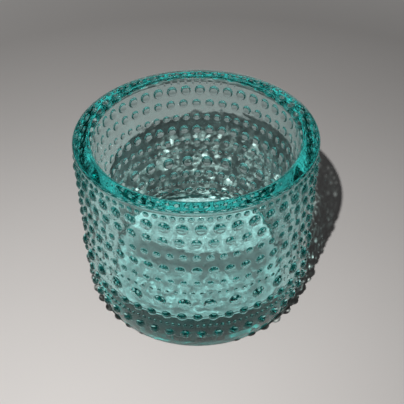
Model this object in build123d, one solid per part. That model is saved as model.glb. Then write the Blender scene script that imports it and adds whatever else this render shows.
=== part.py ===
from build123d import *
import math
import os

# One-piece pressed-glass tealight holder: a thick round cup with rows of raised
# round beads on the outside, a smooth inside and a heavy base.
# Origin: centre of the underside, in the plane of the foot ring. +Z points up,
# along the axis of symmetry. All lengths are in millimetres.

HEIGHT = 64.0            # overall height
RIM_OUTER_R = 40.7       # outside radius at the rim's lip
RIM_INNER_R = 34.4       # mouth radius at the rim
RIM_OUTER_FILLET = 0.9
RIM_INNER_FILLET = 2.1   # the inside edge of the rim is generously rounded
LIP_Z = 62.0             # the wall flares out to the lip between these heights
LIP_TOP_Z = 62.9

HEEL_Z = 16.0            # height at which the wall turns into the heel
HEEL_R = 39.75           # outside wall radius at that height
HEEL_ARC_R = 45.0        # radius of the heel's arc, tangent to the wall
WALL_TOP_R = 40.1        # outside wall radius carried up to the full height
WALL_ARC_R = 2000.0      # the wall above the heel is very slightly barrelled
FOOT_FILLET = 0.7        # rounding between heel and foot ring

FOOT_INNER_R = 26.4      # inside radius of the flat foot ring
RECESS_R = 24.8          # radius of the shallow recess under the base
RECESS_DEPTH = 1.2       # depth of that recess

FLOOR_Z = 12.3           # height of the inside floor
INNER_LOW_R = 33.0       # inside wall radius low down, above the floor fillet
INNER_LOW_Z = 24.0
FLOOR_FILLET = 2.8       # rounding between inside wall and floor

# rows of beads: (name, height, bead diameter, how far it stands out, count, angle)
# the angle, in degrees, is where one bead sits, from -Y towards +X
ROWS = [
    ("rim_row", 60.6, 2.0, 0.65, 90, 1.5),
    ("row_2", 56.7, 4.0, 1.15, 45, 1.5),
    ("row_3", 51.1, 3.4, 0.95, 48, -0.5),
    ("row_4", 45.1, 2.5, 0.75, 60, -0.5),
    ("row_5", 39.5, 3.4, 0.95, 48, -0.5),
    ("row_6", 33.9, 2.4, 0.70, 60, -0.5),
    ("row_7", 29.3, 1.4, 0.42, 90, 1.6),
    ("row_8", 24.5, 4.5, 1.40, 30, 5.5),
    ("row_9", 18.2, 3.1, 1.10, 48, -0.5),
    ("row_10", 13.8, 1.4, 0.50, 120, -0.5),
    ("foot_row", 9.0, 3.6, 1.25, 45, 1.5),
]

# derived: centres of the wall's arc and of the heel's arc, in the profile plane
_dx, _dz = WALL_TOP_R - HEEL_R, HEIGHT - HEEL_Z
_chord = math.hypot(_dx, _dz)
_back = math.sqrt(WALL_ARC_R ** 2 - (_chord / 2) ** 2)
WALL_CX = (WALL_TOP_R + HEEL_R) / 2 - _back * _dz / _chord
WALL_CZ = (HEIGHT + HEEL_Z) / 2 + _back * _dx / _chord
HEEL_CX = HEEL_R - HEEL_ARC_R * (HEEL_R - WALL_CX) / WALL_ARC_R
HEEL_CZ = HEEL_Z - HEEL_ARC_R * (HEEL_Z - WALL_CZ) / WALL_ARC_R


def wall_r(z):
    """Outside radius of the bare wall, without beads, at height z."""
    if z >= HEEL_Z:
        return WALL_CX + math.sqrt(WALL_ARC_R ** 2 - (WALL_CZ - z) ** 2)
    return HEEL_CX + math.sqrt(HEEL_ARC_R ** 2 - (HEEL_CZ - z) ** 2)


def wall_normal(z):
    """Outward normal (radial, vertical) of the bare wall at height z."""
    if z >= HEEL_Z:
        return (wall_r(z) - WALL_CX) / WALL_ARC_R, (z - WALL_CZ) / WALL_ARC_R
    return (wall_r(z) - HEEL_CX) / HEEL_ARC_R, (z - HEEL_CZ) / HEEL_ARC_R


# heights where the outside surface is divided into bands, one per row of beads
row_z = [r[1] for r in ROWS]
splits = [(a + b) / 2 for a, b in zip(row_z[:-1], row_z[1:])]
above = sorted({round(z, 3) for z in splits if z > HEEL_Z}) + [LIP_Z]
below = sorted({round(z, 3) for z in splits if z < HEEL_Z}) + [HEEL_Z]

with BuildSketch(Plane.XZ) as profile:
    with BuildLine():
        Line((0, RECESS_DEPTH), (RECESS_R, RECESS_DEPTH))
        Line((RECESS_R, RECESS_DEPTH), (FOOT_INNER_R, 0))
        Line((FOOT_INNER_R, 0), (wall_r(0), 0))
        z0 = 0.0
        for z1 in below:
            zm = (z0 + z1) / 2
            ThreePointArc((wall_r(z0), z0), (wall_r(zm), zm), (wall_r(z1), z1))
            z0 = z1
        for z1 in above:
            zm = (z0 + z1) / 2
            ThreePointArc((wall_r(z0), z0), (wall_r(zm), zm), (wall_r(z1), z1))
            z0 = z1
        Line((wall_r(LIP_Z), LIP_Z), (RIM_OUTER_R, LIP_TOP_Z))
        Line((RIM_OUTER_R, LIP_TOP_Z), (RIM_OUTER_R, HEIGHT))
        Line((RIM_OUTER_R, HEIGHT), (RIM_INNER_R, HEIGHT))
        Line((RIM_INNER_R, HEIGHT), (INNER_LOW_R, INNER_LOW_Z))
        # the inside wall's line is carried on down to the floor, then rounded
        low_slope = (RIM_INNER_R - INNER_LOW_R) / (HEIGHT - INNER_LOW_Z)
        corner_r = INNER_LOW_R - (INNER_LOW_Z - FLOOR_Z) * low_slope
        Line((INNER_LOW_R, INNER_LOW_Z), (corner_r, FLOOR_Z))
        Line((corner_r, FLOOR_Z), (0, FLOOR_Z))
        Line((0, FLOOR_Z), (0, RECESS_DEPTH))
    make_face()


def round_corner(f, x, z, radius):
    """Round the profile's corner nearest to the point (x, z)."""
    v = min(f.vertices(), key=lambda p: math.hypot(p.X - x, p.Z - z))
    return f.fillet_2d(radius, [v])


face = profile.sketch.face()
face = round_corner(face, RIM_OUTER_R, HEIGHT, RIM_OUTER_FILLET)
face = round_corner(face, RIM_INNER_R, HEIGHT, RIM_INNER_FILLET)
face = round_corner(face, wall_r(0), 0, FOOT_FILLET)
face = round_corner(face, FOOT_INNER_R, 0, 0.5)
face = round_corner(face, RECESS_R, RECESS_DEPTH, 0.8)
face = round_corner(face, corner_r, FLOOR_Z, FLOOR_FILLET)

cup = Solid.revolve(face, 360, Axis.Z)

glass = cup
for name, z, dia, stand, count, angle in ROWS:
    # each bead is a ball sunk into the wall; its poles lie along the row, inside the glass
    rho = ((dia / 2) ** 2 + stand ** 2) / (2 * stand)
    nr, nz = wall_normal(z)
    cr = wall_r(z) - (rho - stand) * nr
    cz = z - (rho - stand) * nz
    balls = []
    for i in range(count):
        a = math.radians(angle + 360.0 * i / count)
        seat = Plane(
            origin=(cr * math.sin(a), -cr * math.cos(a), cz),
            x_dir=(-nr * math.sin(a), nr * math.cos(a), -nz),
            z_dir=(math.cos(a), math.sin(a), 0),
        )
        balls.append(Solid.make_sphere(rho, plane=seat, angle1=-90, angle2=90, angle3=360))
    before = len(glass.faces())
    glass = glass.fuse(*balls)
    if len(glass.solids()) != 1 or len(glass.faces()) != before + count:
        raise ValueError("beads of " + name + " did not join the cup")
    glass = glass.solids()[0]

os.makedirs("parts", exist_ok=True)
glass.label = "glass_holder"
export_step(glass, "parts/glass_holder.step")
bb = glass.bounding_box()
print("volume cm3", round(glass.volume / 1000, 2), "faces", len(glass.faces()), "valid", glass.is_valid)
print("box", [round(v, 3) for v in (bb.min.X, bb.min.Y, bb.min.Z, bb.max.X, bb.max.Y, bb.max.Z)])
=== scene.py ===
import math

import bpy
import numpy as np
from mathutils import Matrix, Vector


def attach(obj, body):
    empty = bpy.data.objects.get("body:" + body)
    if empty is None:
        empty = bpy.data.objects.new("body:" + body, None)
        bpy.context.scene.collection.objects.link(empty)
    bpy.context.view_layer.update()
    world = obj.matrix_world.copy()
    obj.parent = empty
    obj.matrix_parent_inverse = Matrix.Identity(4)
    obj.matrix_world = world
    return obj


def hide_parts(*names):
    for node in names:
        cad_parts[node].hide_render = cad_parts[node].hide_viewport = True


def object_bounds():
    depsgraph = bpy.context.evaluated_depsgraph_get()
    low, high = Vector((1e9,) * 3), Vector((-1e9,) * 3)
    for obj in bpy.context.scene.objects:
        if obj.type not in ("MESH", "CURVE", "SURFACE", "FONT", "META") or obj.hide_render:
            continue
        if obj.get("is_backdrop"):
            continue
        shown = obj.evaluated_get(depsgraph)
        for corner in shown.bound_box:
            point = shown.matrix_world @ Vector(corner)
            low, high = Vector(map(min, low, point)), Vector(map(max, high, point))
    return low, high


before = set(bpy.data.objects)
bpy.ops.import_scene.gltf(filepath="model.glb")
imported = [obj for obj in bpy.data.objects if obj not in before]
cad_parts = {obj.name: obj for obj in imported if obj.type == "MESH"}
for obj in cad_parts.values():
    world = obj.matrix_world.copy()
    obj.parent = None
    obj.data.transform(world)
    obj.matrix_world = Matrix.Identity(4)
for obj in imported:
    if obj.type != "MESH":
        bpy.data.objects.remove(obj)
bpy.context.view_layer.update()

# ---------------------------------------------------------------- dimensions, mm
HEIGHT = 64.0
RIM_OUTER_R, RIM_INNER_R, WALL_TOP_R = 40.7, 34.4, 40.1
RIM_OUTER_FILLET, RIM_INNER_FILLET = 0.9, 2.1
LIP_Z, LIP_TOP_Z = 62.0, 62.9
HEEL_Z, HEEL_R, HEEL_ARC_R, WALL_ARC_R = 16.0, 39.75, 45.0, 2000.0
FOOT_FILLET = 0.7
FOOT_INNER_R, RECESS_R, RECESS_DEPTH = 26.4, 24.8, 1.2
FLOOR_Z, INNER_LOW_R, INNER_LOW_Z, FLOOR_FILLET = 12.3, 33.0, 24.0, 2.8

# height, bead diameter, stand-out, count, angle of one bead from -Y towards +X,
# mesh: segments along the cell's top or bottom, along its sides, rings on the dome, fillet radius
ROWS = [
    (9.0, 3.6, 1.25, 45, 1.5, 6, 6, 4, 0.45),
    (13.8, 1.4, 0.50, 120, -0.5, 3, 2, 3, 0.16),
    (18.2, 3.1, 1.10, 48, -0.5, 6, 5, 4, 0.40),
    (24.5, 4.5, 1.40, 30, 5.5, 9, 5, 5, 0.50),
    (29.3, 1.4, 0.42, 90, 1.6, 4, 2, 3, 0.16),
    (33.9, 2.4, 0.70, 60, -0.5, 6, 4, 3, 0.32),
    (39.5, 3.4, 0.95, 48, -0.5, 6, 5, 4, 0.40),
    (45.1, 2.5, 0.75, 60, -0.5, 6, 4, 3, 0.32),
    (51.1, 3.4, 0.95, 48, -0.5, 6, 5, 4, 0.40),
    (56.7, 4.0, 1.15, 45, 1.5, 6, 6, 5, 0.45),
    (60.6, 2.0, 0.65, 90, 1.5, 3, 4, 3, 0.12),
]

_dx, _dz = WALL_TOP_R - HEEL_R, HEIGHT - HEEL_Z
_ch = math.hypot(_dx, _dz)
_back = math.sqrt(WALL_ARC_R**2 - (_ch / 2) ** 2)
WALL_CX = (WALL_TOP_R + HEEL_R) / 2 - _back * _dz / _ch
WALL_CZ = (HEIGHT + HEEL_Z) / 2 + _back * _dx / _ch
HEEL_CX = HEEL_R - HEEL_ARC_R * (HEEL_R - WALL_CX) / WALL_ARC_R
HEEL_CZ = HEEL_Z - HEEL_ARC_R * (HEEL_Z - WALL_CZ) / WALL_ARC_R
W0 = math.asin((HEEL_Z - WALL_CZ) / WALL_ARC_R)
H0 = math.asin((HEEL_Z - HEEL_CZ) / HEEL_ARC_R)


def wall(s):
    """Outside wall at arc length s (0 where the heel starts): r, z, normal r, normal z."""
    s = np.asarray(s, float)
    a = np.where(s >= 0, W0 + s / WALL_ARC_R, H0 + s / HEEL_ARC_R)
    c, n = np.cos(a), np.sin(a)
    r = np.where(s >= 0, WALL_CX + WALL_ARC_R * c, HEEL_CX + HEEL_ARC_R * c)
    z = np.where(s >= 0, WALL_CZ + WALL_ARC_R * n, HEEL_CZ + HEEL_ARC_R * n)
    return r, z, c, n


def s_of_z(z):
    if z >= HEEL_Z:
        return (math.asin((z - WALL_CZ) / WALL_ARC_R) - W0) * WALL_ARC_R
    return (math.asin((z - HEEL_CZ) / HEEL_ARC_R) - H0) * HEEL_ARC_R


# ---------------------------------------------------------------- mesh store
V, NRM, F = [], [], []


def add_points(theta, r, z, nt, nr, nz):
    """Adds points in cylindrical form; the normal is (tangential, radial, vertical). Angle 0 is -Y, growing towards +X."""
    theta, r, z, nt, nr, nz = np.broadcast_arrays(*[np.asarray(a, float) for a in (theta, r, z, nt, nr, nz)])
    s, c = np.sin(theta), np.cos(theta)
    start = sum(len(v) for v in V)
    V.append(np.stack([r * s, -r * c, z], -1).reshape(-1, 3))
    NRM.append(np.stack([nr * s + nt * c, -nr * c + nt * s, nz], -1).reshape(-1, 3))
    return (start + np.arange(theta.size)).reshape(theta.shape)


def ring_band(lo, hi):
    """Quads between two rings of the same count; outward when hi is above lo on the outside."""
    n = len(lo)
    for i in range(n):
        j = (i + 1) % n
        F.append((lo[i], lo[j], hi[j], hi[i]))


def zipper(lo, tlo, hi, thi):
    """Triangles between two rings of different counts; the angles grow and each ring closes."""
    nl, nh = len(lo), len(hi)
    tlo = np.mod(tlo, 2 * math.pi)
    thi = np.mod(thi, 2 * math.pi)
    ol, oh = np.argsort(tlo), np.argsort(thi)
    lo, tlo, hi, thi = lo[ol], tlo[ol], hi[oh], thi[oh]
    tl = np.append(tlo, tlo[0] + 2 * math.pi)
    th = np.append(thi, thi[0] + 2 * math.pi)
    i = j = 0
    while i < nl or j < nh:
        step_lo = j >= nh or (i < nl and tl[i + 1] + tl[i] <= th[j + 1] + th[j])
        if step_lo:
            F.append((lo[i % nl], lo[(i + 1) % nl], hi[j % nh]))
            i += 1
        else:
            F.append((lo[i % nl], hi[(j + 1) % nh], hi[j % nh]))
            j += 1


def bead_profile(dia, stand, rings, rf):
    """(distance from centre, height above wall, normal out, normal up) from just off the crest down to the wall."""
    rho = ((dia / 2) ** 2 + stand**2) / (2 * stand)
    at = math.acos((rf + rho - stand) / (rho + rf))
    xf = (rho + rf) * math.sin(at)
    out = []
    for k in range(1, rings + 1):
        a = at * (k / rings) ** 0.92
        out.append((rho * math.sin(a), rho * math.cos(a) - (rho - stand), math.sin(a), math.cos(a)))
    nf = 2
    for k in range(1, nf + 1):
        b = at * (1 - k / nf)
        out.append((xf - rf * math.sin(b), rf - rf * math.cos(b), math.sin(b), math.cos(b)))
    return out, xf


def bead_row(row):
    """Meshes one row of beads as cells, and returns its lowest and highest rings with their angles."""
    z0, dia, stand, count, angle, m, k, rings, rf = row
    s0 = s_of_z(z0)
    r0 = float(wall(s0)[0])
    prof, xf = bead_profile(dia, stand, rings, rf)
    half = math.pi / count
    hu, hs = half * r0, xf + (0.35 if rf > 0.3 else 0.1)
    n = 2 * (m + k)
    # the cell's boundary, anticlockwise from its lower left corner, in mm
    bu = np.concatenate([np.linspace(-hu, hu, m + 1)[:-1], np.full(k, hu), np.linspace(hu, -hu, m + 1)[:-1], np.full(k, -hu)])
    bs = np.concatenate([np.full(m, -hs), np.linspace(-hs, hs, k + 1)[:-1], np.full(m, hs), np.linspace(hs, -hs, k + 1)[:-1]])
    # circle directions: each side of the cell takes its own share of the circle
    ca = math.pi * k / n
    a0 = -math.pi + ca
    phi = a0 + 2 * math.pi * np.arange(n) / n
    centres = np.radians(angle + 360.0 * np.arange(count) / count)

    # shared boundary points
    def edge(du, ds):
        th = centres[:, None] + np.asarray(du)[None, :] / r0
        r, z, nr, nz = wall(s0 + np.asarray(ds))
        return add_points(th, r[None, :], z[None, :], 0.0, nr[None, :], nz[None, :]), th

    left, tleft = edge(np.full(k + 1, -hu), np.linspace(-hs, hs, k + 1))
    low, tlow = edge(np.linspace(-hu, hu, m + 1)[1:-1], np.full(m - 1, -hs))
    top, ttop = edge(np.linspace(-hu, hu, m + 1)[1:-1], np.full(m - 1, hs))
    right = np.roll(left, -1, axis=0)
    outer = np.concatenate([left[:, :1], low, right[:, :-1], right[:, -1:], top[:, ::-1], left[:, ::-1][:, :-1]], axis=1)

    def ring(du, ds, h, out, up, ang):
        r, z, nr, nz = wall(s0 + ds)
        th = centres[:, None] + (du / r0)[None, :]
        rr, zz = r + nr * h, z + nz * h
        # outward in the tangent plane: cos along theta, sin along s (s runs up: direction (-nz, nr))
        nt = out * np.cos(ang)
        nrr = up * nr + out * np.sin(ang) * (-nz)
        nzz = up * nz + out * np.sin(ang) * nr
        return add_points(th, rr[None, :], zz[None, :], nt[None, :], nrr[None, :], nzz[None, :])

    rows = []
    for d, h, out, up in prof:
        rows.append(ring(d * np.cos(phi), d * np.sin(phi), h, out, up, phi))
    cu, cs = xf * np.cos(phi), xf * np.sin(phi)
    for t in ((0.5,) if rf > 0.35 else ()):
        rows.append(ring(cu + (bu - cu) * t, cs + (bs - cs) * t, 0.0, 0.0, 1.0, phi))
    rows.append(outer)
    crest = ring(np.zeros(1), np.zeros(1), stand, 0.0, 1.0, np.zeros(1))[:, 0]
    for c in range(count):
        a = rows[0][c]
        for i in range(n):
            F.append((crest[c], a[i], a[(i + 1) % n]))
        for q in range(len(rows) - 1):
            a, b = rows[q][c], rows[q + 1][c]
            for i in range(n):
                j = (i + 1) % n
                F.append((a[i], b[i], b[j], a[j]))
    lo_i = np.concatenate([left[:, :1], low], axis=1).ravel()
    lo_t = np.concatenate([tleft[:, :1], tlow], axis=1).ravel()
    hi_i = np.concatenate([left[:, -1:], top], axis=1).ravel()
    hi_t = np.concatenate([tleft[:, -1:], ttop], axis=1).ravel()
    return (s0 - hs, lo_i, lo_t), (s0 + hs, hi_i, hi_t)


SEG = 270
ANG = np.radians(1.5) - math.pi / 90 + 2 * math.pi * np.arange(SEG) / SEG


def turn(r, z, nr, nz):
    """One ring of the turned surfaces."""
    q = math.hypot(nr, nz)
    return add_points(ANG, r, z, 0.0, nr / q, nz / q)


def corner_arc(p0, p1, p2, rad, n):
    """Points and outward normals of the rounding of corner p1, going p0 -> p1 -> p2 with the glass on the left."""
    p0, p1, p2 = map(np.array, (p0, p1, p2))
    d0 = (p1 - p0) / np.linalg.norm(p1 - p0)
    d1 = (p2 - p1) / np.linalg.norm(p2 - p1)
    cr = d0[0] * d1[1] - d0[1] * d1[0]
    ang = math.acos(max(-1, min(1, float(d0 @ d1))))
    t = rad * math.tan(ang / 2)
    side = 1.0 if cr > 0 else -1.0
    n0 = np.array([-d0[1], d0[0]]) * side
    c = p1 - d0 * t + n0 * rad
    out = []
    for i in range(n + 1):
        a = ang * i / n * side
        v = -n0
        v = np.array([v[0] * math.cos(a) - v[1] * math.sin(a), v[0] * math.sin(a) + v[1] * math.cos(a)])
        out.append((c + v * rad, v * side))
    return out


def line_pts(p0, p1, n, ends=(False, False)):
    """n points strictly between, plus the ends asked for, with outward normals, glass on the left."""
    p0, p1 = np.array(p0, float), np.array(p1, float)
    d = (p1 - p0) / np.linalg.norm(p1 - p0)
    nn = np.array([d[1], -d[0]])
    ts = [0.0] * ends[0] + [(i + 1) / (n + 1) for i in range(n)] + [1.0] * ends[1]
    return [(p0 + (p1 - p0) * t, nn) for t in ts]


# outside: foot edge -> rim, row by row
s_foot = s_of_z(0.0)
foot_r = float(wall(s_foot)[0])

# foot fillet between the foot's flat and the heel's arc: a small circle tangent to both
cxf = None
for it in range(1):
    # centre at height FOOT_FILLET, at distance HEEL_ARC_R - FOOT_FILLET from the arc's centre
    dz = HEEL_CZ - FOOT_FILLET
    cxf = HEEL_CX + math.sqrt((HEEL_ARC_R - FOOT_FILLET) ** 2 - dz**2)
ta = math.atan2(FOOT_FILLET - HEEL_CZ, cxf - HEEL_CX)
s_start = (ta - H0) * HEEL_ARC_R
# rim fillet, between the lip's upright edge and the flat top
cxr = RIM_OUTER_R - RIM_OUTER_FILLET

under = []
under += line_pts((0.0, RECESS_DEPTH), (RECESS_R - 0.4, RECESS_DEPTH), 1)
under += corner_arc((0.0, RECESS_DEPTH), (RECESS_R, RECESS_DEPTH), (FOOT_INNER_R, 0.0), 0.8, 3)
under += corner_arc((RECESS_R, RECESS_DEPTH), (FOOT_INNER_R, 0.0), (foot_r, 0.0), 0.5, 3)
# the recess is a guess: it is shaded as flat, since a sharp edge draws lines in the front wall
under = [(p, np.array([0.0, -1.0])) for p, _ in under]
under += line_pts((FOOT_INNER_R + 0.3, 0.0), (cxf, 0.0), 1)
for i in range(5):
    a = -math.pi / 2 + (ta + math.pi / 2) * i / 4
    under.append((np.array([cxf + FOOT_FILLET * math.cos(a), FOOT_FILLET + FOOT_FILLET * math.sin(a)]), np.array([math.cos(a), math.sin(a)])))

prev = None
for p, nn in under:
    rg = turn(p[0], p[1], nn[0], nn[1])
    if prev is None:
        c = add_points(0.0, 0.0, RECESS_DEPTH, 0.0, 0.0, -1.0).ravel()[0]
        for i in range(SEG):
            F.append((c, rg[(i + 1) % SEG], rg[i]))
    else:
        ring_band(prev, rg)
    prev = rg
last = (s_start, prev, ANG)


def wall_ring(s):
    r, z, nr, nz = (float(v) for v in wall(s))
    return turn(r, z, nr, nz)


for row in ROWS:
    lo, hi = bead_row(row)
    gap = lo[0] - last[0]
    if gap > 2.4:
        n_mid = int(gap // 1.6)
        s_from = last[0]
        for i in range(n_mid):
            s = s_from + gap * (i + 1) / (n_mid + 1)
            rg = wall_ring(s)
            if last[1] is prev:
                ring_band(last[1], rg)
            else:
                zipper(last[1], last[2], rg, ANG)
            prev = rg
            last = (s, rg, ANG)
    if gap < 0.02:
        raise ValueError("rows too close: %.2f mm" % gap)
    zipper(last[1], last[2], lo[1], lo[2])
    last = hi
    prev = None

top = []
lip_r, _, lip_nr, lip_nz = (float(v) for v in wall(s_of_z(LIP_Z)))
flare = np.array([LIP_TOP_Z - LIP_Z, lip_r - RIM_OUTER_R])
flare /= np.linalg.norm(flare)
top.append((np.array([lip_r, LIP_Z]), np.array([lip_nr, lip_nz]) + flare))
top.append((np.array([(lip_r + RIM_OUTER_R) / 2, (LIP_Z + LIP_TOP_Z) / 2]), flare))
top.append((np.array([RIM_OUTER_R, LIP_TOP_Z]), np.array([1.0, 0.0]) + flare))
for i in range(6):
    a = math.pi / 2 * i / 5
    top.append((np.array([cxr + RIM_OUTER_FILLET * math.cos(a), HEIGHT - RIM_OUTER_FILLET + RIM_OUTER_FILLET * math.sin(a)]), np.array([math.cos(a), math.sin(a)])))
low_slope = (RIM_INNER_R - INNER_LOW_R) / (HEIGHT - INNER_LOW_Z)
corner_r = INNER_LOW_R - (INNER_LOW_Z - FLOOR_Z) * low_slope
in_rim = corner_arc((cxr, HEIGHT), (RIM_INNER_R, HEIGHT), (corner_r, FLOOR_Z), RIM_INNER_FILLET, 7)
in_floor = corner_arc((RIM_INNER_R, HEIGHT), (corner_r, FLOOR_Z), (0.0, FLOOR_Z), FLOOR_FILLET, 8)
top += line_pts((cxr, HEIGHT), in_rim[0][0], 2)
top += in_rim
top += line_pts(in_rim[-1][0], in_floor[0][0], 4)
top += in_floor
top += line_pts(in_floor[-1][0], (0.0, FLOOR_Z), 2)
for i, (p, nn) in enumerate(top):
    rg = turn(p[0], p[1], nn[0], nn[1])
    if i == 0:
        zipper(last[1], last[2], rg, ANG)
    else:
        ring_band(prev, rg)
    prev = rg
c = add_points(0.0, 0.0, FLOOR_Z, 0.0, 0.0, 1.0).ravel()[0]
for i in range(SEG):
    F.append((prev[i], prev[(i + 1) % SEG], c))

verts = np.concatenate(V) * 0.001
verts[:, :2] *= 0.9995  # the facets of the CAD's own mesh lie a hair inside the true surface
norms = np.concatenate(NRM)
norms /= np.linalg.norm(norms, axis=1, keepdims=True)

mesh = bpy.data.meshes.new("pressed_glass")
mesh.from_pydata(verts.tolist(), [], [tuple(int(i) for i in f) for f in F])
mesh.validate(clean_customdata=False)
mesh.update()
mesh.polygons.foreach_set("use_smooth", np.ones(len(mesh.polygons), bool))
mesh.normals_split_custom_set_from_vertices([tuple(v) for v in norms])
glass = bpy.data.objects.new("pressed_glass", mesh)
bpy.context.scene.collection.objects.link(glass)
tris = sum(len(p.vertices) - 2 for p in mesh.polygons)
print("glass: vertices", len(mesh.vertices), "triangles", tris)

# ---------------------------------------------------------------- materials


def nodes_of(name):
    m = bpy.data.materials.new(name)
    m.use_nodes = True
    nt = m.node_tree
    nt.nodes.clear()
    return m, nt, nt.nodes, nt.links


def glass_material():
    m, nt, N, L = nodes_of("aqua_pressed_glass")
    out = N.new("ShaderNodeOutputMaterial")
    tc = N.new("ShaderNodeTexCoord")
    # slow waviness of pressed, fire-polished glass
    wav = N.new("ShaderNodeTexNoise")
    wav.inputs["Scale"].default_value = 90.0
    wav.inputs["Detail"].default_value = 2.0
    L.new(tc.outputs["Object"], wav.inputs["Vector"])
    fine = N.new("ShaderNodeTexNoise")
    fine.inputs["Scale"].default_value = 420.0
    fine.inputs["Detail"].default_value = 1.0
    L.new(tc.outputs["Object"], fine.inputs["Vector"])
    b1 = N.new("ShaderNodeBump")
    b1.inputs["Strength"].default_value = 0.35
    b1.inputs["Distance"].default_value = 0.0006
    L.new(wav.outputs["Fac"], b1.inputs["Height"])
    b2 = N.new("ShaderNodeBump")
    b2.inputs["Strength"].default_value = 0.25
    b2.inputs["Distance"].default_value = 0.00012
    L.new(fine.outputs["Fac"], b2.inputs["Height"])
    L.new(b1.outputs["Normal"], b2.inputs["Normal"])
    # light handling marks: roughness varies a little
    rn = N.new("ShaderNodeTexNoise")
    rn.inputs["Scale"].default_value = 60.0
    rn.inputs["Detail"].default_value = 4.0
    L.new(tc.outputs["Object"], rn.inputs["Vector"])
    rr = N.new("ShaderNodeMapRange")
    rr.inputs["From Min"].default_value = 0.35
    rr.inputs["From Max"].default_value = 0.7
    rr.inputs["To Min"].default_value = 0.0
    rr.inputs["To Max"].default_value = 0.016
    L.new(rn.outputs["Fac"], rr.inputs["Value"])
    p = N.new("ShaderNodeBsdfPrincipled")
    p.inputs["Base Color"].default_value = (0.985, 1.0, 1.0, 1.0)
    p.inputs["IOR"].default_value = 1.517
    p.inputs["Transmission Weight"].default_value = 1.0
    L.new(rr.outputs["Result"], p.inputs["Roughness"])
    L.new(b2.outputs["Normal"], p.inputs["Normal"])
    # painted light and shade, in place of real caustics: the colour that shadow rays pass through sets the light
    # that reaches the table through the glass:
    # the flat floor and base let it pass, the smooth inside wall nearly so, the beaded outside only where a bead
    # faces the light
    geo = N.new("ShaderNodeNewGeometry")
    nsep = N.new("ShaderNodeSeparateXYZ")
    L.new(geo.outputs["True Normal"], nsep.inputs["Vector"])
    nabs = N.new("ShaderNodeMath")
    nabs.operation = "ABSOLUTE"
    L.new(nsep.outputs["Z"], nabs.inputs[0])
    flat = N.new("ShaderNodeMapRange")
    flat.inputs["From Min"].default_value = 0.90
    flat.inputs["From Max"].default_value = 0.985
    L.new(nabs.outputs["Value"], flat.inputs["Value"])
    osep = N.new("ShaderNodeSeparateXYZ")
    L.new(tc.outputs["Object"], osep.inputs["Vector"])
    flatxy = N.new("ShaderNodeCombineXYZ")
    L.new(osep.outputs["X"], flatxy.inputs["X"])
    L.new(osep.outputs["Y"], flatxy.inputs["Y"])
    rad = N.new("ShaderNodeVectorMath")
    rad.operation = "LENGTH"
    L.new(flatxy.outputs["Vector"], rad.inputs[0])
    outer = N.new("ShaderNodeMath")
    outer.operation = "GREATER_THAN"
    outer.inputs[1].default_value = 0.0362
    L.new(rad.outputs["Value"], outer.inputs[0])
    lw = N.new("ShaderNodeLayerWeight")
    lw.inputs["Blend"].default_value = 0.5
    ramp = N.new("ShaderNodeValToRGB")
    e = ramp.color_ramp.elements
    e[0].position, e[0].color = 0.03, (0.95, 0.99, 0.98, 1)
    e[1].position, e[1].color = 0.46, (0.12, 0.145, 0.14, 1)
    e2 = ramp.color_ramp.elements.new(0.22)
    e2.color = (0.32, 0.36, 0.35, 1)
    L.new(lw.outputs["Facing"], ramp.inputs["Fac"])
    # painted light and shade: streak and patch noise make the light through the beaded outside wall fall unevenly,
    # in streaks and pale patches on the table
    streak = N.new("ShaderNodeTexNoise")
    streak.inputs["Scale"].default_value = 400.0
    streak.inputs["Detail"].default_value = 1.0
    L.new(tc.outputs["Object"], streak.inputs["Vector"])
    sm = N.new("ShaderNodeMapRange")
    sm.inputs["From Min"].default_value = 0.45
    sm.inputs["From Max"].default_value = 0.66
    sm.inputs["To Min"].default_value = 0.10
    sm.inputs["To Max"].default_value = 3.6
    L.new(streak.outputs["Fac"], sm.inputs["Value"])
    wallc = N.new("ShaderNodeVectorMath")
    wallc.operation = "SCALE"
    L.new(ramp.outputs["Color"], wallc.inputs[0])
    patch = N.new("ShaderNodeTexNoise")
    patch.inputs["Scale"].default_value = 120.0
    L.new(tc.outputs["Object"], patch.inputs["Vector"])
    pm = N.new("ShaderNodeMapRange")
    pm.inputs["From Min"].default_value = 0.45
    pm.inputs["From Max"].default_value = 0.62
    pm.inputs["To Min"].default_value = 0.45
    pm.inputs["To Max"].default_value = 2.4
    L.new(patch.outputs["Fac"], pm.inputs["Value"])
    uneven = N.new("ShaderNodeMath")
    uneven.operation = "MULTIPLY"
    L.new(sm.outputs["Result"], uneven.inputs[0])
    L.new(pm.outputs["Result"], uneven.inputs[1])
    L.new(uneven.outputs["Value"], wallc.inputs["Scale"])
    # where the light enters the outside wall it passes, unevenly; less of it low down at the heel
    sp = N.new("ShaderNodeMapRange")
    sp.inputs["From Min"].default_value = 0.38
    sp.inputs["From Max"].default_value = 0.62
    sp.inputs["To Min"].default_value = 0.15
    sp.inputs["To Max"].default_value = 1.02
    L.new(streak.outputs["Fac"], sp.inputs["Value"])
    low = N.new("ShaderNodeMapRange")
    low.inputs["From Min"].default_value = 0.008
    low.inputs["From Max"].default_value = 0.020
    low.inputs["To Min"].default_value = 0.62
    L.new(osep.outputs["Z"], low.inputs["Value"])
    enter = N.new("ShaderNodeMath")
    enter.operation = "MULTIPLY"
    L.new(sp.outputs["Result"], enter.inputs[0])
    L.new(low.outputs["Result"], enter.inputs[1])
    side = N.new("ShaderNodeMix")
    side.data_type = "RGBA"
    L.new(geo.outputs["Backfacing"], side.inputs["Factor"])
    L.new(wallc.outputs["Vector"], side.inputs["A"])
    L.new(enter.outputs["Value"], side.inputs["B"])
    inner = N.new("ShaderNodeMix")
    inner.data_type = "RGBA"
    inner.inputs["A"].default_value = (0.90, 0.92, 0.915, 1)
    L.new(outer.outputs["Value"], inner.inputs["Factor"])
    L.new(side.outputs["Result"], inner.inputs["B"])
    pick = N.new("ShaderNodeMix")
    pick.data_type = "RGBA"
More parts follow.
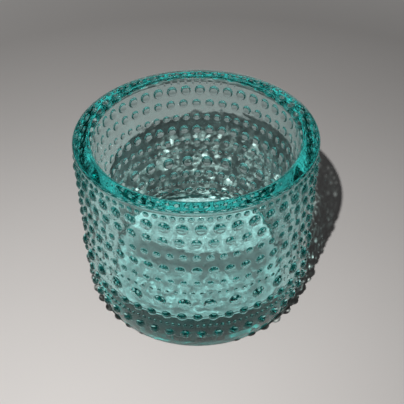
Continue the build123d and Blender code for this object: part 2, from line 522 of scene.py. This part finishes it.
    # painted caustic light: a noise pattern stands in for the pressed floor gathering the light into thin bright
    # threads
    painted_caustic_noise = N.new("ShaderNodeTexNoise")
    painted_caustic_noise.inputs["Scale"].default_value = 360.0
    painted_caustic_noise.inputs["Detail"].default_value = 2.0
    L.new(tc.outputs["Object"], painted_caustic_noise.inputs["Vector"])
    ridge = N.new("ShaderNodeMath")
    ridge.operation = "SUBTRACT"
    ridge.inputs[1].default_value = 0.5
    L.new(painted_caustic_noise.outputs["Fac"], ridge.inputs[0])
    crest = N.new("ShaderNodeMath")
    crest.operation = "ABSOLUTE"
    L.new(ridge.outputs["Value"], crest.inputs[0])
    gm = N.new("ShaderNodeMapRange")
    gm.inputs["From Min"].default_value = 0.0
    gm.inputs["From Max"].default_value = 0.10
    gm.inputs["To Min"].default_value = 1.55
    gm.inputs["To Max"].default_value = 0.80
    L.new(crest.outputs["Value"], gm.inputs["Value"])
    L.new(gm.outputs["Result"], pick.inputs["B"])
    L.new(flat.outputs["Result"], pick.inputs["Factor"])
    L.new(inner.outputs["Result"], pick.inputs["A"])
    tr_ = N.new("ShaderNodeBsdfTransparent")
    # the thick rim keeps most of the light that strikes it
    rimf = N.new("ShaderNodeMapRange")
    rimf.inputs["From Min"].default_value = 0.0575
    rimf.inputs["From Max"].default_value = 0.0615
    rimf.inputs["To Min"].default_value = 1.0
    rimf.inputs["To Max"].default_value = 0.16
    L.new(osep.outputs["Z"], rimf.inputs["Value"])
    shade = N.new("ShaderNodeVectorMath")
    shade.operation = "SCALE"
    L.new(pick.outputs["Result"], shade.inputs[0])
    L.new(rimf.outputs["Result"], shade.inputs["Scale"])
    L.new(shade.outputs["Vector"], tr_.inputs["Color"])
    lp = N.new("ShaderNodeLightPath")
    mix = N.new("ShaderNodeMixShader")
    L.new(lp.outputs["Is Shadow Ray"], mix.inputs["Fac"])
    L.new(p.outputs["BSDF"], mix.inputs[1])
    L.new(tr_.outputs["BSDF"], mix.inputs[2])
    L.new(mix.outputs["Shader"], out.inputs["Surface"])
    va = N.new("ShaderNodeVolumeAbsorption")
    va.inputs["Color"].default_value = (0.0, 0.835, 0.82, 1.0)
    # light on its way to the table is tinted less than what the eye sees through the glass
    dens = N.new("ShaderNodeMapRange")
    dens.inputs["To Min"].default_value = 39.0
    dens.inputs["To Max"].default_value = 9.0
    L.new(lp.outputs["Is Shadow Ray"], dens.inputs["Value"])
    L.new(dens.outputs["Result"], va.inputs["Density"])
    L.new(va.outputs["Volume"], out.inputs["Volume"])
    return m


def floor_material():
    m, nt, N, L = nodes_of("pale_table")
    out = N.new("ShaderNodeOutputMaterial")
    tc = N.new("ShaderNodeTexCoord")
    n = N.new("ShaderNodeTexNoise")
    n.inputs["Scale"].default_value = 14.0
    n.inputs["Detail"].default_value = 6.0
    L.new(tc.outputs["Object"], n.inputs["Vector"])
    r = N.new("ShaderNodeValToRGB")
    r.color_ramp.elements[0].color = (0.735, 0.715, 0.70, 1)
    r.color_ramp.elements[1].color = (0.775, 0.755, 0.74, 1)
    L.new(n.outputs["Fac"], r.inputs["Fac"])
    p = N.new("ShaderNodeBsdfPrincipled")
    p.inputs["Roughness"].default_value = 0.85
    p.inputs["Specular IOR Level"].default_value = 0.15
    L.new(r.outputs["Color"], p.inputs["Base Color"])
    # painted light: from the picture's far edge outwards the table glows, evenly, as if lit by a wide soft light
    ln = N.new("ShaderNodeVectorMath")
    ln.operation = "LENGTH"
    L.new(tc.outputs["Object"], ln.inputs[0])
    far = N.new("ShaderNodeMapRange")
    far.inputs["From Min"].default_value = 0.21
    far.inputs["From Max"].default_value = 0.42
    far.inputs["To Max"].default_value = 0.24
    L.new(ln.outputs["Value"], far.inputs["Value"])
    # painted light: the table glows under the base, standing in for light that the glass guides down its walls;
    # hidden from outside
    base = N.new("ShaderNodeMapRange")
    base.inputs["From Min"].default_value = 0.0362
    base.inputs["From Max"].default_value = 0.0346
    base.inputs["To Max"].default_value = 0.42
    L.new(ln.outputs["Value"], base.inputs["Value"])
    # painted light: under the middle the glow is a quarter as strong as in the ring under the foot
    ringf = N.new("ShaderNodeMapRange")
    ringf.inputs["From Min"].default_value = 0.026
    ringf.inputs["From Max"].default_value = 0.033
    ringf.inputs["To Min"].default_value = 0.24
    L.new(ln.outputs["Value"], ringf.inputs["Value"])
    both = N.new("ShaderNodeMath")
    both.operation = "MULTIPLY_ADD"
    L.new(base.outputs["Result"], both.inputs[0])
    L.new(ringf.outputs["Result"], both.inputs[1])
    L.new(far.outputs["Result"], both.inputs[2])
    p.inputs["Emission Color"].default_value = (1.0, 0.985, 0.965, 1)
    L.new(both.outputs["Value"], p.inputs["Emission Strength"])
    L.new(p.outputs["BSDF"], out.inputs["Surface"])
    return m


mesh.materials.append(glass_material())
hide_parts("glass_holder")
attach(glass, "root")

# ---------------------------------------------------------------- floor, light, camera
fm = bpy.data.meshes.new("table")
S = 4.0
fm.from_pydata([(-S, -S, 0), (S, -S, 0), (S, S, 0), (-S, S, 0)], [], [(0, 1, 2, 3)])
fm.update()
fm.materials.append(floor_material())
table = bpy.data.objects.new("table", fm)
table.location.z = -0.00005
bpy.context.scene.collection.objects.link(table)
table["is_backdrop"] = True


def area(name, pos, target, size, power, colour=(1, 1, 1), shape="DISK"):
    ld = bpy.data.lights.new(name, "AREA")
    ld.shape, ld.size, ld.energy, ld.color = shape, size, power, colour
    o = bpy.data.objects.new(name, ld)
    o.location = pos
    o.rotation_euler = (Vector(target) - Vector(pos)).to_track_quat("-Z", "Y").to_euler()
    bpy.context.scene.collection.objects.link(o)
    return o


area("key", (-0.020, -0.148, 0.243), (-0.148, 0.120, 0.0), 0.005, 0.70, (1.0, 0.983, 0.966))
area("fill", (0.25, 0.35, 1.3), (0, 0, 0), 1.2, 0.35, (0.97, 0.985, 1.0))

world = bpy.data.worlds.new("studio")
bpy.context.scene.world = world
world.use_nodes = True
wn, wl = world.node_tree.nodes, world.node_tree.links
bg = wn["Background"]
tcw = wn.new("ShaderNodeTexCoord")
sep = wn.new("ShaderNodeSeparateXYZ")
wl.new(tcw.outputs["Generated"], sep.inputs["Vector"])
wr = wn.new("ShaderNodeValToRGB")
we = wr.color_ramp.elements
we[0].position, we[0].color = 0.0, (0.30, 0.295, 0.285, 1)
we[1].position, we[1].color = 1.0, (0.032, 0.033, 0.034, 1)
for pos, v in ((0.10, 0.12), (0.30, 0.032)):
    w = we.new(pos)
    w.color = (v, v, v * 0.99, 1)
wl.new(sep.outputs["Z"], wr.inputs["Fac"])
wl.new(wr.outputs["Color"], bg.inputs["Color"])
bg.inputs["Strength"].default_value = 1.0

cd = bpy.data.cameras.new("camera")
cd.lens, cd.sensor_width = 71.73, 36.0
cd.clip_start, cd.clip_end = 0.01, 20
cam = bpy.data.objects.new("camera", cd)
X = Vector((0.99988, -0.01392, -0.00726))
Y = Vector((0.01449, 0.63985, 0.76837))
Z = Vector((-0.00605, -0.76838, 0.63997))
R = Matrix((X, Y, Z)).transposed().to_4x4()
cam.matrix_world = Matrix.Translation((0.0, -0.21805, 0.21579)) @ R
bpy.context.scene.collection.objects.link(cam)
bpy.context.scene.camera = cam

sc = bpy.context.scene
sc.view_settings.view_transform = "Standard"
sc.view_settings.look = "None"
sc.cycles.max_bounces = 32
sc.cycles.transmission_bounces = 32
sc.cycles.glossy_bounces = 16
sc.cycles.diffuse_bounces = 4
sc.cycles.transparent_max_bounces = 32
sc.cycles.sample_clamp_indirect = 14.0
sc.cycles.use_denoising = True
# light through the glass comes from the shadow rays above, so none is added by chance hits
sc.cycles.caustics_refractive = False
sc.cycles.caustics_reflective = False

lo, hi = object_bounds()
